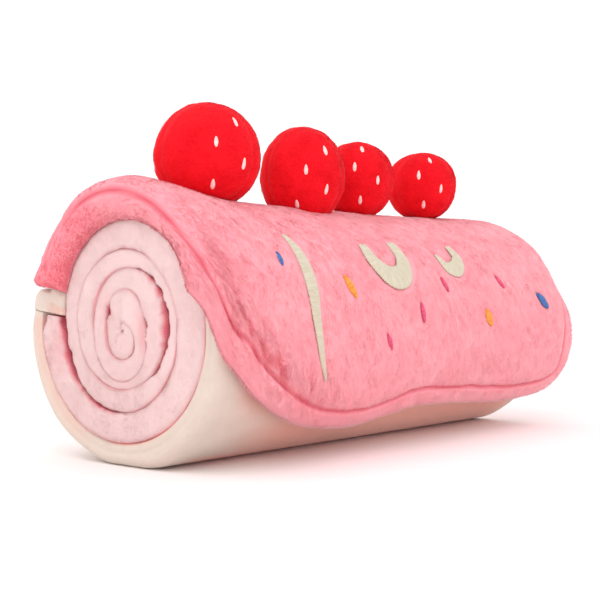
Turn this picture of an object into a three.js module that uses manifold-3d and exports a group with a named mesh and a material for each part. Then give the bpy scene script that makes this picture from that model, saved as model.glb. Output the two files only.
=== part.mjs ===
// A plush swiss roll cake, lying on its side. A long pale pink fleece mat is rolled up, a cream
// sponge cover goes round it, and a padded pink frosting flap lies over the top with four plush
// strawberries sewn along it. Cream piping and small sprinkles are embroidered on the frosting.
// Millimetres, +Z up. X runs along the roll, and the coiled end that shows is at -X.
// Angles go round the roll: 0 is the top, 90 the front (-Y), 180 the underside, 270 the back.
import * as THREE from "three";
import { mergeVertices } from "three/addons/utils/BufferGeometryUtils.js";
import Module from "manifold-3d";

// Driving dimensions of the roll
const ROLL_NEAR = -120.5; // the coiled end that shows
const ROLL_FAR = 110;
const AXIS_HEIGHT = 48.5; // the roll's middle above the floor
const GAP = 0.5; // between neighbouring pieces

// The rolled mat
const MAT_START = 277.7; // the outer end of the mat, at the back, just under the frosting
const MAT_TURNS = 4.5;
const MAT_STEP = 10; // degrees from one section to the next
const MAT_RIM = 4; // how far each turn's edge rounds over
const CORE = { y: 5, z: 50 }; // the coil tightens round this point
const CREVICE = 0.8; // between two turns
const OPEN_CREVICE = { at: 895, half: 75, width: 2.6 }; // where the third turn stands away

// The cover
const COVER_RIM = 5.5;
const COVER_TUCK = 4.5; // how much shorter it is under the frosting
const COVER_STEP = 278.5; // the cover steps in over the mat's outer end here
const LEDGE = { corner: -76.2, foot: -74.6 }; // and it steps in again under the frosting's back edge

// The frosting flap
const FLAP_NEAR = -133.4;
const FLAP_FAR = 124.5;
const FLAP_BACK = -74;
const FLAP_THICK = 5.2;
const HEM = 9.4; // from the flap's edge to its line of stitches
const HEM_THICK = 4.2;
const HEM_STITCH = 1.5; // how deep the stitches pull in
const HEM_STITCH_WIDE = 1.7; // to each side
const FULL_FROM = 14; // this far from its edge the flap has its full thickness
const EDGE_ROUND = 2.8; // over this way its edge rounds off
const LIP = { near: 11, far: 18 }; // the margins that curl over the ends of the roll
const LIP_OVER = 0.6; // how far the near lip comes down over the mat
const LIP_REST = 2.8; // its edge stays this far in front of the mat
const LIP_LIFT = 6.5; // degrees by which its lower end is drawn up at the back
const FLAP_GAP = 0.9; // between the cover and the flap
const BACK_CORNER = 3; // how much less it overhangs the near end at the back
const FLAP_MIDDLE = 50.5; // the usual radius of its middle layer
const CLOSES_NEAR = ROLL_NEAR + COVER_TUCK - 0.8; // past here it comes in over the cover's rim
const CLOSES_FAR = ROLL_FAR - COVER_TUCK + 0.8;

// The embroidery
const PIPING_HEIGHT = 0.9;
const SPRINKLE_HEIGHT = 1;
const SEED = { length: 4.6, width: 2.3, height: 0.7 };

const rad = THREE.MathUtils.degToRad;
const { lerp, smoothstep, clamp } = THREE.MathUtils;
const wasm = await Module();
wasm.setup();

// A smooth curve through values at the given places, as a function.
function through(places, values) {
  const curve = new THREE.CubicInterpolant(places, values, 1);
  return (x) => curve.evaluate(x)[0];
}

// The place at this distance from the axis, round the roll by this angle.
function around(x, angle, radius, middle = { y: 0, z: AXIS_HEIGHT }) {
  const a = rad(angle);
  return new THREE.Vector3(x, middle.y - radius * Math.sin(a), middle.z + radius * Math.cos(a));
}

// A closed surface from rows of points. Each row is a ring. Rows close on themselves when looped,
// and otherwise the first and the last row are capped.
function loft(rings, looped = false) {
  const count = rings[0].length;
  const index = [];
  const rows = looped ? rings.length : rings.length - 1;
  for (let i = 0; i < rows; i++) {
    const next = (i + 1) % rings.length;
    for (let j = 0; j < count; j++) {
      const k = (j + 1) % count;
      const [a, b, c, d] = [i * count + j, i * count + k, next * count + k, next * count + j];
      index.push(a, b, c, a, c, d);
    }
  }
  if (!looped) {
    const last = (rings.length - 1) * count;
    for (let j = 1; j < count - 1; j++) index.push(0, j + 1, j, last, last + j, last + j + 1);
  }
  return closedSurface(rings.flat(), index);
}

// A surface from points and triangles, with its faces turned outwards.
function closedSurface(points, index) {
  const geometry = new THREE.BufferGeometry().setFromPoints(points).setIndex(index);
  const merged = mergeVertices(geometry, 1e-3);
  const at = merged.getAttribute("position");
  const corner = [new THREE.Vector3(), new THREE.Vector3(), new THREE.Vector3()];
  const kept = [];
  let volume = 0;
  for (let i = 0; i < merged.index.count; i += 3) {
    const [a, b, c] = [0, 1, 2].map((k) => merged.index.getX(i + k));
    if (a === b || b === c || a === c) continue;
    kept.push(a, b, c);
    [a, b, c].forEach((v, k) => corner[k].fromBufferAttribute(at, v));
    volume += corner[0].dot(corner[1].cross(corner[2]));
  }
  if (volume < 0) for (let i = 0; i < kept.length; i += 3) kept.splice(i, 2, kept[i + 1], kept[i]);
  return merged.setIndex(kept);
}

// Joins closed surfaces into one.
function unite(...geometries) {
  const solid = geometries
    .map((geometry) => {
      const bare = new THREE.BufferGeometry()
        .setAttribute("position", geometry.getAttribute("position"))
        .setIndex(geometry.index);
      const merged = mergeVertices(bare, 1e-3);
      return new wasm.Manifold(
        new wasm.Mesh({
          numProp: 3,
          vertProperties: merged.getAttribute("position").array,
          triVerts: new Uint32Array(merged.index.array),
        }),
      );
    })
    .reduce((whole, piece) => whole.add(piece));
  const mesh = solid.getMesh();
  return new THREE.BufferGeometry()
    .setAttribute("position", new THREE.BufferAttribute(mesh.vertProperties, 3))
    .setIndex(new THREE.BufferAttribute(mesh.triVerts, 1));
}

function part(name, geometry, colour, roughness) {
  const material = new THREE.MeshStandardMaterial({ color: colour, roughness, metalness: 0 });
  const mesh = new THREE.Mesh(geometry, material);
  mesh.name = name;
  return mesh;
}

// The coil. Its outer edge is given at every quarter turn, from the outer end inwards.
const QUARTERS = [52, 39.3, 38.5, 42, 37.6, 29.3, 27.2, 30.3, 26, 22, 23.5, 23];
const CORE_QUARTERS = [18.5, 14.5, 12, 13.5, 9.5, 4.5, 2.6, 1.3, 0.9, 0.7, 0.6, 0.5];
const coilRadius = through(
  [...QUARTERS, ...CORE_QUARTERS].map((_, i) => i * 90),
  [...QUARTERS, ...CORE_QUARTERS],
);

// A point on the coil's spiral line, unrolled by so many degrees from its outer end at the back.
function coilPoint(x, along, outwards = 0) {
  const inwards = smoothstep(along, 0, 900);
  const middle = { y: CORE.y * inwards, z: lerp(AXIS_HEIGHT, CORE.z, inwards) };
  return around(x, 270 - along, Math.max(coilRadius(along) + outwards, 0.5), middle);
}

function crevice(along) {
  const off = Math.abs(along - OPEN_CREVICE.at) / OPEN_CREVICE.half;
  return CREVICE + OPEN_CREVICE.width * (off < 1 ? Math.cos((off * Math.PI) / 2) ** 2 : 0);
}

// Each section of the mat is a flat band along the roll with both edges rounded over.
function rolledMat() {
  const from = 270 - MAT_START;
  const to = from + MAT_TURNS * 360;
  const rings = [];
  for (let along = from; along <= to; along += MAT_STEP) {
    const outer = coilPoint(0, along, -crevice(along) / 2);
    const inner = coilPoint(0, along + 360, crevice(along + 360) / 2);
    const middle = outer.clone().add(inner).multiplyScalar(0.5);
    const ends = Math.min(along - from, to - along) / MAT_STEP;
    const full = [0.55, 0.9][ends] ?? 1; // the mat's own two edges are rounded too
    const half = outer.clone().sub(middle).multiplyScalar(full);
    const wander = 0.7 * Math.sin(rad(along * 1.7)) - (1.2 * along) / to;
    rings.push(bandSection(middle, half, ROLL_NEAR - wander, ROLL_FAR + wander, MAT_RIM));
  }
  return loft(rings);
}

// A ring of points round a band that runs from near to far, half as thick as the vector half.
function bandSection(middle, half, near, far, rim) {
  const ring = [];
  for (const [end, inwards] of [[near, 1], [far, -1]]) {
    for (let angle = -90; angle <= 90; angle += 45) {
      const side = rad(angle) * inwards;
      const point = middle.clone().addScaledVector(half, Math.sin(side));
      point.x = end + inwards * rim * (1 - Math.cos(side) ** 0.8);
      ring.push(point);
    }
  }
  return ring;
}

// The cover's outside, in and out from a circle: it bulges at the back over the mat's outer end.
const coverRadius = through(
  [-90, -84, LEDGE.corner, LEDGE.foot, -72, -60, -45, -20, 0, 45, 90,
    130, 150, 162, 172, 180, 188, 200, 215, 230, 251, 270, 286],
  [60.4, 59.4, 57.6, 52, 51.2, 49.6, 48.2, 46.6, 45.8, 47, 47.5,
    47.5, 48, 48.9, 48.8, 48.8, 49.2, 51, 52.8, 55.8, 59, 60.4, 51.4],
);

// 1 where the frosting covers the ends of the roll, and 0 where the cover's rim shows.
function underFrosting(angle) {
  const a = angle > 200 ? angle - 360 : angle;
  return smoothstep(a, -72, -62) * (1 - smoothstep(a, 66, 80));
}

function spongeCover() {
  const rings = [];
  const step = 5;
  const top = COVER_STEP - 360;
  const angles = [top + 0.4, LEDGE.corner, LEDGE.foot];
  for (let angle = Math.ceil(LEDGE.foot / step) * step; angle < COVER_STEP - 1; angle += step) {
    angles.push(angle);
  }
  angles.push(COVER_STEP);
  for (const angle of angles) {
    const outer = around(0, angle, coverRadius(angle));
    outer.z = Math.max(outer.z, 0); // flat where it lies on the floor
    const along = 270 - angle;
    const inner = coilPoint(0, along, GAP - CREVICE / 2);
    const middle = outer.clone().add(inner).multiplyScalar(0.5);
    const half = outer.sub(middle);
    const tuck = COVER_TUCK * underFrosting(angle);
    rings.push(bandSection(middle, half, ROLL_NEAR + tuck, ROLL_FAR - tuck, COVER_RIM));
  }
  return loft(rings, true);
}

// The frosting's front edge: how far round the roll it hangs, along the roll. The near corner is
// cut in a wide curve, and the far one is tight.
const frontEdge = through(
  [FLAP_NEAR, -131, -128, -124, -117, -107, -98, -86, -72, -60,
    -38, -19, -8, 12, 46, 79, 100, 112, 119, FLAP_FAR],
  [70, 79, 89, 96.5, 103, 112, 118, 125, 131, 134,
    136.5, 132, 128.6, 128.2, 130.6, 133, 132, 129, 124, 113],
);

// How far the margins at the two ends turn inwards, in degrees. The near one is bent over this
// length and then goes straight down to the mat.
const nearCurl = through([-74, -40, 0, 30, 62, 80, 92], [105, 110, 112, 105, 84, 12, 0.5]);
const nearBend = through([-74, -40, 0, 30, 62, 80, 92], [8, 10.5, 14, 13.5, 12.5, 11, 11]);
const farCurl = through([-74, -40, 0, 60, 85, 100], [30, 48, 62, 58, 14, 0.5]);

// The top sags between the strawberries and stands up over the near end.
const crest = through([-133, -118, -90, -60, 0, 60, 110, 125], [5.6, 5.2, 0.6, -2.2, -1.8, 0.2, 1, 0]);

// 1 along the very top of the roll, fading down both sides.
function ridge(angle) {
  return Math.max(0, Math.cos(rad(angle))) ** 4;
}

function flapInside(along, angle) {
  return coverRadius(angle) + FLAP_GAP + Math.max(0, crest(along)) * ridge(angle);
}

function flapThickness(along, angle, fromEdge) {
  const full = FLAP_THICK + Math.min(0, crest(along)) * ridge(angle);
  const body = lerp(HEM_THICK, full, smoothstep(fromEdge, HEM, FULL_FROM));
  const edge = Math.sqrt(1 - (1 - clamp(fromEdge / EDGE_ROUND, 0, 1)) ** 2);
  const stitch = HEM_STITCH * Math.max(0, 1 - Math.abs(fromEdge - HEM) / HEM_STITCH_WIDE);
  return body * edge - stitch;
}

function matRadius(angle) {
  return around(0, angle, 0).distanceTo(coilPoint(0, 270 - angle + (angle > -90 ? 0 : 360)));
}

// The two curled margins at this angle: the length and angle of the bend, the whole reach from
// the start of the bend to the edge, and how far the edge is drawn in towards the mat.
function nearLip(angle) {
  const curl = rad(Math.max(0.5, nearCurl(angle)));
  const length = nearBend(angle);
  const bend = length / curl;
  const start = FLAP_NEAR + LIP.near;
  const folded = 1 - smoothstep(angle, 50, 68);
  const height = flapInside(start, angle) + FLAP_THICK / 2 - bend * (1 - Math.cos(curl));
  const down = Math.max(0, height - matRadius(angle) + LIP_OVER);
  const straight = (down / Math.max(Math.sin(curl), 0.5)) * folded;
  const edge = start - bend * Math.sin(curl) - straight * Math.cos(curl) + backCorner(angle);
  const drawn = Math.max(0, ROLL_NEAR - LIP_REST - edge) * folded;
  return { curl, length, reach: length + straight, drawn };
}

function farLip(angle) {
  return { curl: rad(Math.max(0.5, farCurl(angle))), length: LIP.far, reach: LIP.far, drawn: 0 };
}

function backCorner(angle) {
  return BACK_CORNER * (1 - smoothstep(angle, FLAP_BACK, -8));
}

// A point of the frosting: along it, round the roll, from its inner (0) to its outer face (1).
// Near both ends of the roll it curls inwards, and its inner face closes on the mat.
function flapPoint(along, angle, fromEdge, across) {
  const thick = flapThickness(along, angle, fromEdge);
  const middle = flapInside(along, angle) + FLAP_THICK / 2;
  const offset = (across - 0.5) * thick;
  const near = FLAP_NEAR + LIP.near;
  const far = FLAP_FAR - LIP.far;
  const isNear = along < near;
  const { curl, length, reach, drawn } = isNear ? nearLip(angle) : farLip(angle);
  const past = isNear ? ((near - along) * reach) / LIP.near : Math.max(0, along - far);
  const bend = length / curl;
  const turned = Math.min(past / bend, curl);
  const straight = Math.max(0, past - length);
  const outwards = (bend + offset) * Math.sin(turned) + straight * Math.cos(turned);
  let x = clamp(along, near, far) + (isNear ? -outwards : outwards);
  x += backCorner(angle) * (1 - smoothstep(along, FLAP_NEAR, -80));
  x += drawn * smoothstep(past, reach * 0.35, reach);
  let radius = middle - bend * (1 - Math.cos(turned)) - straight * Math.sin(turned);
  radius += Math.cos(turned) * offset;
  if (across < 0.5) radius -= closing(x, angle, radius, fromEdge);
  const lifted = isNear ? smoothstep(past, 0, reach) * (1 - smoothstep(angle, FLAP_BACK, FLAP_BACK + 30)) : 0;
  return around(x, angle + LIP_LIFT * lifted, radius);
}

// How far the inner face comes in over the tucked rim of the cover, towards the mat.
function closing(x, angle, radius, fromEdge) {
  const ends = Math.max(
    smoothstep(x, CLOSES_FAR, ROLL_FAR),
    1 - smoothstep(x, ROLL_NEAR, CLOSES_NEAR),
  );
  const shown = smoothstep(angle, FLAP_BACK, FLAP_BACK + 8) * (1 - smoothstep(angle, 60, 72));
  const room = radius - matRadius(angle) - 2 * GAP;
  return Math.max(0, room) * ends * shown * smoothstep(fromEdge, 0, 6);
}

// Distances from an edge, close together over the hem and wider further in.
const fromHem = [0, 0.7, 2.6, 7.7, HEM, 11.1, 14.5];

// Even steps between two values, without the values themselves.
function between(a, b, steps) {
  return Array.from({ length: steps }, (_, i) => lerp(a, b, (i + 1) / (steps + 1)));
}

// Where the columns of the near lip lie along the flap. They are spread by their distance from its
// edge, so they shift where the lip reaches further, and the last two share the way that is left.
function lipColumns(angle) {
  const shrunk = LIP.near / nearLip(angle).reach;
  const hem = fromHem.slice(0, -1).map((d) => FLAP_NEAR + d * shrunk);
  return [...hem, ...between(hem.at(-1), FLAP_NEAR + LIP.near + 0.6, 2)];
}

function flapGrid() {
  const hem = fromHem.slice(0, -1);
  const lip = lipColumns(90);
  const near = [...lip, ROLL_NEAR, CLOSES_NEAR];
  const far = [CLOSES_FAR, ROLL_FAR, ...hem.map((d) => FLAP_FAR - d).reverse()];
  const usual = [...near, ...between(CLOSES_NEAR, CLOSES_FAR, 15), ...far];
  const degrees = 1 / rad(FLAP_MIDDLE);
  return usual.map((place, column) => {
    const front = frontEdge(place);
    const slope = (frontEdge(place + 0.5) - frontEdge(place - 0.5)) / degrees;
    const lean = Math.hypot(1, slope);
    const back = [0, 0.8, 2.8].map((d) => FLAP_BACK + d * degrees);
    const hanging = fromHem.map((d) => front - d * lean * degrees).reverse();
    return [...back, ...between(back[2], hanging[0], 17), ...hanging].map((angle) => {
      const along = lipColumns(angle)[column] ?? place;
      const fromEdge = Math.min(
        ((along - FLAP_NEAR) * nearLip(angle).reach) / LIP.near,
        FLAP_FAR - along,
        (front - angle) / degrees / lean,
        (angle - FLAP_BACK) / degrees + (angle < 0 ? 0 : HEM),
      );
      return { along, angle, fromEdge };
    });
  });
}

function flapBody() {
  const grid = flapGrid();
  const [columns, rows] = [grid.length, grid[0].length];
  const points = [0, 1].flatMap((across) =>
    grid.flatMap((column) =>
      column.map((p) => flapPoint(p.along, p.angle, Math.max(0, p.fromEdge), p.fromEdge > 0.01 ? across : 0.5)),
    ),
  );
  const index = [];
  for (const [side, start] of [[1, 0], [-1, columns * rows]]) {
    for (let i = 0; i < columns - 1; i++) {
      for (let j = 0; j < rows - 1; j++) {
        const a = start + i * rows + j;
        const [b, c, d] = [a + 1, a + rows + 1, a + rows];
        if (side > 0) index.push(a, b, c, a, c, d);
        else index.push(a, c, b, a, d, c);
      }
    }
  }
  return closedSurface(points, index);
}

// A low embroidered band on the frosting. Its middle line is given as places along the roll (mm)
// and angles round it, and widths are given at the same places.
function embroidery(line, widths, height, sections = 9) {
  const flat = new THREE.SplineCurve(line.map(([s, angle]) => new THREE.Vector2(s, angle * rad(53))));
  const width = through(widths.map((_, i) => i / (widths.length - 1)), widths);
  const rings = [];
  for (let i = 0; i <= sections; i++) {
    const t = i / sections;
    const at = flat.getPoint(t);
    const way = flat.getTangent(t);
    const half = Math.max(0.15, width(t) / 2);
    const rise = height * Math.sqrt(clamp(Math.min(t, 1 - t) * 6, 0.1, 1));
    rings.push(
      [0, 60, 120, 180, 240, 300].map((angle) => {
        const sideways = half * Math.cos(rad(angle));
        const s = at.x - way.y * sideways;
        const arc = at.y + way.x * sideways;
        const up = rise * Math.sin(rad(angle));
        return around(s, arc / rad(53), flapInside(s, arc / rad(53)) + flapTop(s, arc / rad(53)) + up);
      }),
    );
  }
  return loft(rings);
}

function flapTop(s, angle) {
  return (FLAP_THICK + flapThickness(s, angle, 20)) / 2;
}

const PIPING = [
  {
    line: [[-80, 46], [-77.5, 56], [-77.5, 70], [-78, 84], [-75, 98], [-70, 109]],
    widths: [2, 6, 6.6, 4.6, 3, 1],
  },
  {
    line: [[-34, 49], [-33, 58], [-26, 65.5], [-17, 65], [-12.5, 57], [-13, 47]],
    widths: [5, 8, 10, 10, 8, 6],
  },
  { line: [[15, 53], [19, 60], [26, 60.5], [31, 55], [30, 47]], widths: [2, 6, 8, 7, 4] },
];
const SPRINKLES = [
  { at: [-90, 59], length: 6, width: 3, lean: 90 },
  { at: [-54.5, 70.5], length: 10, width: 4.4, lean: 65 },
  { at: [-33.5, 94], length: 8, width: 2.6, lean: 58 },
  { at: [-9.5, 82], length: 8.5, width: 2.8, lean: 84 },
  { at: [11.5, 69], length: 7.5, width: 2.6, lean: 68 },
  { at: [42, 85], length: 8.5, width: 5.5, lean: 60 },
  { at: [58, 67], length: 8, width: 2.8, lean: 52 },
  { at: [94, 77], length: 11, width: 5, lean: 40 },
];

function sprinkle({ at: [s, angle], length, width, lean }) {
  const [ds, dAngle] = [(Math.cos(rad(lean)) * length) / 2, (Math.sin(rad(lean)) * length) / 2 / rad(53)];
  const line = [[s - ds, angle - dAngle], [s, angle], [s + ds, angle + dAngle]];
  return embroidery(line, [width * 0.3, width, width * 0.3], SPRINKLE_HEIGHT, 4);
}

function frostingFlap() {
  const piping = PIPING.map(({ line, widths }) => embroidery(line, widths, PIPING_HEIGHT));
  return unite(flapBody(), ...piping, ...SPRINKLES.map(sprinkle));
}

// The strawberries: a soft ball each, pressed flat where it is sewn on. Each is cut from three
// gores, and each gore has a zigzag of four seeds. A seed is given by degrees round the ball from
// the front and degrees up.
const GORES = 3;
const BERRIES = [
  { x: -86, y: -5, z: 116.6, radius: 20.2, seeds: [[6, 33], [35, 7], [2, -14], [37, -39]] },
  { x: -36, y: -11, z: 112.6, radius: 18, tall: 1.07, seeds: [[16, 27], [46, 1], [16, -22], [60, -42]] },
  { x: 8.6, y: -5, z: 114.4, radius: 16.7, seeds: [[42, 46], [56, 15], [19, -4], [47, -36]] },
  { x: 59.3, y: -5, z: 115.4, radius: 16.4, seeds: [[36, 42], [59, 14], [20, -7], [50, -36]] },
];

function lumps(direction, i) {
  const { x, y, z } = direction;
  const sides = 0.014 * (Math.sin(3.1 * x + 2 * i) + Math.sin(3.7 * y + 1.3 * i));
  return 1 + sides - 0.02 * Math.sin(2.9 * z + i);
}

// The height of the frosting's top under a point of a strawberry.
function restHeight(point) {
  const angle = THREE.MathUtils.radToDeg(Math.atan2(-point.y, point.z - AXIS_HEIGHT));
  const top = flapInside(point.x, angle) + flapTop(point.x, angle) + GAP;
  return AXIS_HEIGHT + Math.sqrt(Math.max(0, top ** 2 - point.y ** 2));
}

function strawberry({ x, y, z, radius, tall = 1, seeds }, i) {
  const centre = new THREE.Vector3(x, y, z);
  const ball = new THREE.SphereGeometry(1, 18, 12).rotateX(Math.PI / 2);
  const at = ball.getAttribute("position");
  const size = new THREE.Vector3(radius, radius, radius * tall);
  const onBall = (direction) =>
    direction.clone().multiply(size).multiplyScalar(lumps(direction, i)).add(centre);
  for (let k = 0; k < at.count; k++) {
    const point = onBall(new THREE.Vector3().fromBufferAttribute(at, k));
    at.setXYZ(k, point.x, point.y, Math.max(point.z, restHeight(point)));
  }
  const sewn = [];
  for (let gore = 0; gore < GORES; gore++) {
    for (const [round, up] of seeds) {
      const turn = rad(round + (gore * 360) / GORES);
      const direction = new THREE.Vector3(-Math.sin(turn), -Math.cos(turn), Math.tan(rad(up))).normalize();
      const point = onBall(direction);
      if (point.z < restHeight(point) + SEED.length / 2) continue; // sewn under, out of sight
      const side = new THREE.Vector3(0, 0, 1).cross(direction).normalize();
      const long = direction.clone().cross(side);
      const seed = new THREE.SphereGeometry(0.5, 6, 4).scale(SEED.width, SEED.length, 2 * SEED.height);
      seed.applyMatrix4(new THREE.Matrix4().makeBasis(side, long, direction).setPosition(point));
      sewn.push(seed);
    }
  }
  return unite(ball, ...sewn);
}

const cake = new THREE.Group();
cake.add(part("rolled_mat", rolledMat(), 0xf1d0ce, 0.95));
cake.add(part("sponge_cover", spongeCover(), 0xecded0, 0.9));
cake.add(part("frosting_flap", frostingFlap(), 0xf3979d, 0.95));
BERRIES.forEach((berry, i) => {
  cake.add(part("strawberry_" + (i + 1), strawberry(berry, i), 0xf00a19, 0.9));
});

// The origin is under the middle of the whole toy.
const box = new THREE.Box3().setFromObject(cake, true);
const middle = box.getCenter(new THREE.Vector3());
cake.position.set(-middle.x, -middle.y, -box.min.z);

export default cake;
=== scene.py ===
# %% [markdown]
# # A plush swiss roll, piece by piece
# This toy is sewn from four fabrics: a pale pink fleece mat that is rolled up inside, a cream
# velvet cover, a padded frosting flap of brushed pink plush, and red plush strawberries. Each
# lesson below makes one of them. All shapes are worked out in millimetres in the roll's own frame,
# with X along the roll, Z up and the front at -Y, and are moved into place at the last moment.

# %% Load the frame
import itertools
import math

import bpy
import numpy as np
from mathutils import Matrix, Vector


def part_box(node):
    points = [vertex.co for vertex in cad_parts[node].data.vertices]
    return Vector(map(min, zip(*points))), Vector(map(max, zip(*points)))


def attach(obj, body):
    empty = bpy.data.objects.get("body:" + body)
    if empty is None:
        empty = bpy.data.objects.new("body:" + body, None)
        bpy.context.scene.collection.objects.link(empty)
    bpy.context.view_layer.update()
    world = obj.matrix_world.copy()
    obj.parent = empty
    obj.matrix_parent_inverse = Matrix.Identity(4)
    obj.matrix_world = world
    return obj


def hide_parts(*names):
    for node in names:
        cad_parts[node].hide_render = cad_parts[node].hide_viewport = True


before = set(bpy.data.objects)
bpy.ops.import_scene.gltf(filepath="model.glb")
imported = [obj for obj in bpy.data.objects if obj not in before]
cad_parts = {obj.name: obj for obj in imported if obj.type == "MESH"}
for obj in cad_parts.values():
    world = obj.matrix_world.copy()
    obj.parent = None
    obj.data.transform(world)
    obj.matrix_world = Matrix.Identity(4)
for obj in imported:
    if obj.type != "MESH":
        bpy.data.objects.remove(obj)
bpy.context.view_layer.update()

MM = 0.001

# %% [markdown]
# The roll's own frame has its axis at y = 0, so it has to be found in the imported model. The cover
# gives it: its near end and its front side lie at known places in both.

# %% Find the roll
ROLL_NEAR = -120.5
ROLL_FAR = 110.0
AXIS_HEIGHT = 48.5
COVER_FRONT = -47.5
cover_low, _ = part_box("sponge_cover")
SHIFT = np.array([cover_low.x / MM - ROLL_NEAR, cover_low.y / MM - COVER_FRONT, 0.0])
print("the roll's frame is moved by", SHIFT.round(2))


def in_metres(points):
    """Points of the roll's frame, in mm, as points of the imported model, in metres."""
    return (np.asarray(points, float) + SHIFT) * MM


# %% [markdown]
# The camera stands low, a little above the middle of the roll, and looks at the coiled end and the
# long front side. Its lens is long, as for a product picture: the sizes of the two ends differ
# only a little.

# %% Camera
CAMERA_PLACE = (-387.0, -307.0, 62.0)
CAMERA_YAW = 49.7
CAMERA_PITCH = 0.13
CAMERA_LENS = 66.48
camera = bpy.data.objects.new("camera", bpy.data.cameras.new("camera"))
bpy.context.scene.collection.objects.link(camera)
camera.data.lens = CAMERA_LENS
camera.data.sensor_width = 36
camera.data.clip_start = 0.01
camera.location = in_metres(CAMERA_PLACE)
camera.rotation_euler = (math.radians(90 - CAMERA_PITCH), 0, math.radians(-CAMERA_YAW))
bpy.context.scene.camera = camera
print("the camera is at", [round(v, 3) for v in camera.location])

# %% [markdown]
# The light is that of a white studio: an even white room, so that shadows stay pale, and one very
# large soft lamp high on the left, which gives the pile its shape. The floor is lit just past
# white and melts into the wall. It is faintly pink, which shows only where the toy shades it.

# %% Studio
ROOM_LIGHT = 1.2
KEY_POWER = 2.2
FILL_POWER = 0.6
LAMPS_AIM = np.array([0, 0, 0.05])
bpy.context.scene.view_settings.view_transform = "Standard"
world = bpy.data.worlds.new("studio")
world.use_nodes = True
bpy.context.scene.world = world
background = world.node_tree.nodes["Background"]
background.inputs["Color"].default_value = (1, 1, 1, 1)
background.inputs["Strength"].default_value = ROOM_LIGHT


def lamp(name, place, power, size):
    """A square soft lamp that looks at the toy's middle. Places here are in metres."""
    light = bpy.data.lights.new(name, "AREA")
    light.energy = power
    light.size = size
    thing = bpy.data.objects.new(name, light)
    thing.location = place
    way = LAMPS_AIM - np.array(place)
    thing.rotation_euler = (
        math.atan2(math.hypot(way[0], way[1]), -way[2]), 0, math.atan2(way[0], -way[1]) + math.pi)
    bpy.context.scene.collection.objects.link(thing)


lamp("key_lamp", (-0.75, -0.15, 0.85), KEY_POWER, 0.9)
lamp("fill_lamp", (-0.50, -0.90, 0.50), FILL_POWER, 0.8)
print("the studio has", len(bpy.data.lights), "lamps")

# %% [markdown]
# Many fabrics differ only in their numbers, so small helpers make the nodes. A hill pattern is a
# noise texture that is stretched by a size in each direction. Its coordinates are kept with every
# piece as grain: how far along the roll, how far round it and how deep, in millimetres, so that
# brushed pile can be longer one way than the other.

# %% Node helpers


def new_material(name):
    """A material with its nodes and its shader."""
    material = bpy.data.materials.new(name)
    material.use_nodes = True
    return material, material.node_tree, material.node_tree.nodes["Principled BSDF"]


def grain(tree, sizes):
    """The piece's own coordinates, counted in steps of these sizes in mm."""
    read = tree.nodes.new("ShaderNodeAttribute")
    read.attribute_name = "grain"
    scale = tree.nodes.new("ShaderNodeVectorMath")
    scale.operation = "DIVIDE"
    scale.inputs[1].default_value = sizes
    tree.links.new(read.outputs["Vector"], scale.inputs[0])
    return scale.outputs[0]


def hills(tree, sizes, detail=2.0, rough=0.5, distort=0.0):
    """Soft random hills of these sizes in mm, as a value round 0.5."""
    texture = tree.nodes.new("ShaderNodeTexNoise")
    texture.inputs["Scale"].default_value = 1
    texture.inputs["Detail"].default_value = detail
    texture.inputs["Roughness"].default_value = rough
    texture.inputs["Distortion"].default_value = distort
    tree.links.new(grain(tree, sizes), texture.inputs["Vector"])
    return texture.outputs["Fac"]


def ramp(tree, value, low, high, start=0.0, end=1.0):
    """The value, spread so that low gives start and high gives end."""
    spread = tree.nodes.new("ShaderNodeMapRange")
    for socket, number in zip(("From Min", "From Max", "To Min", "To Max"), (low, high, start, end)):
        spread.inputs[socket].default_value = number
    tree.links.new(value, spread.inputs["Value"])
    return spread.outputs["Result"]


def blend(tree, share, first, second):
    """A colour between two colours, which are colours or other nodes' outputs."""
    mix = tree.nodes.new("ShaderNodeMix")
    mix.data_type = "RGBA"
    tree.links.new(share, mix.inputs["Factor"])
    for socket, colour in ((mix.inputs[6], first), (mix.inputs[7], second)):
        if isinstance(colour, tuple):
            socket.default_value = (*colour, 1)
        else:
            tree.links.new(colour, socket)
    return mix.outputs[2]


def kept(tree, name):
    """A value that is kept at every point of the piece."""
    read = tree.nodes.new("ShaderNodeAttribute")
    read.attribute_name = name
    return read.outputs["Fac"]


def raised(tree, heights):
    """A chain of bumps. heights holds (value, mm) pairs, coarse first."""
    normal = None
    for value, height in heights:
        bump = tree.nodes.new("ShaderNodeBump")
        bump.inputs["Distance"].default_value = height * MM
        tree.links.new(value, bump.inputs["Height"])
        if normal:
            tree.links.new(normal, bump.inputs["Normal"])
        normal = bump.outputs["Normal"]
    return normal


# %% [markdown]
# Pile fabrics share one look: almost no gloss, a soft bright edge where one looks along the tips of the
# hairs, and a colour that deepens in patches. Where the pile parts, the darker colour of the hairs' feet
# shows as painted shade, and a deep colour kept at the points paints shade into crevices, seams and shaded
# parts, and on the velvet also reflected pink. A picture of cloth could be wrapped round, but hills in the
# piece's own grain have no seams and follow the way the pile is brushed. The bright edge is sheen.

# %% Pile fabric
GLOSS = 0.15
PARTED = 0.35  # how much of the foot's darker colour, painted shade, shows between two tufts


def soft_finish(tree, shader, colour, roughness, sheen):
    """Hardly any gloss. sheen holds the bright edge's strength, its roughness and its tint."""
    tree.links.new(colour, shader.inputs["Base Color"])
    tree.links.new(roughness, shader.inputs["Roughness"])
    shader.inputs["Specular IOR Level"].default_value = GLOSS
    shader.inputs["Sheen Weight"].default_value = sheen[0]
    shader.inputs["Sheen Roughness"].default_value = sheen[1]
    shader.inputs["Sheen Tint"].default_value = (*sheen[2], 1)


def patches(tree, sizes, most=0.5):
    """Wide patches of these sizes in mm, from 0 between them to most inside."""
    return ramp(tree, hills(tree, sizes, 2, 0.5, 0.4), 0.3, 0.7, 0, most)


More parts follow.
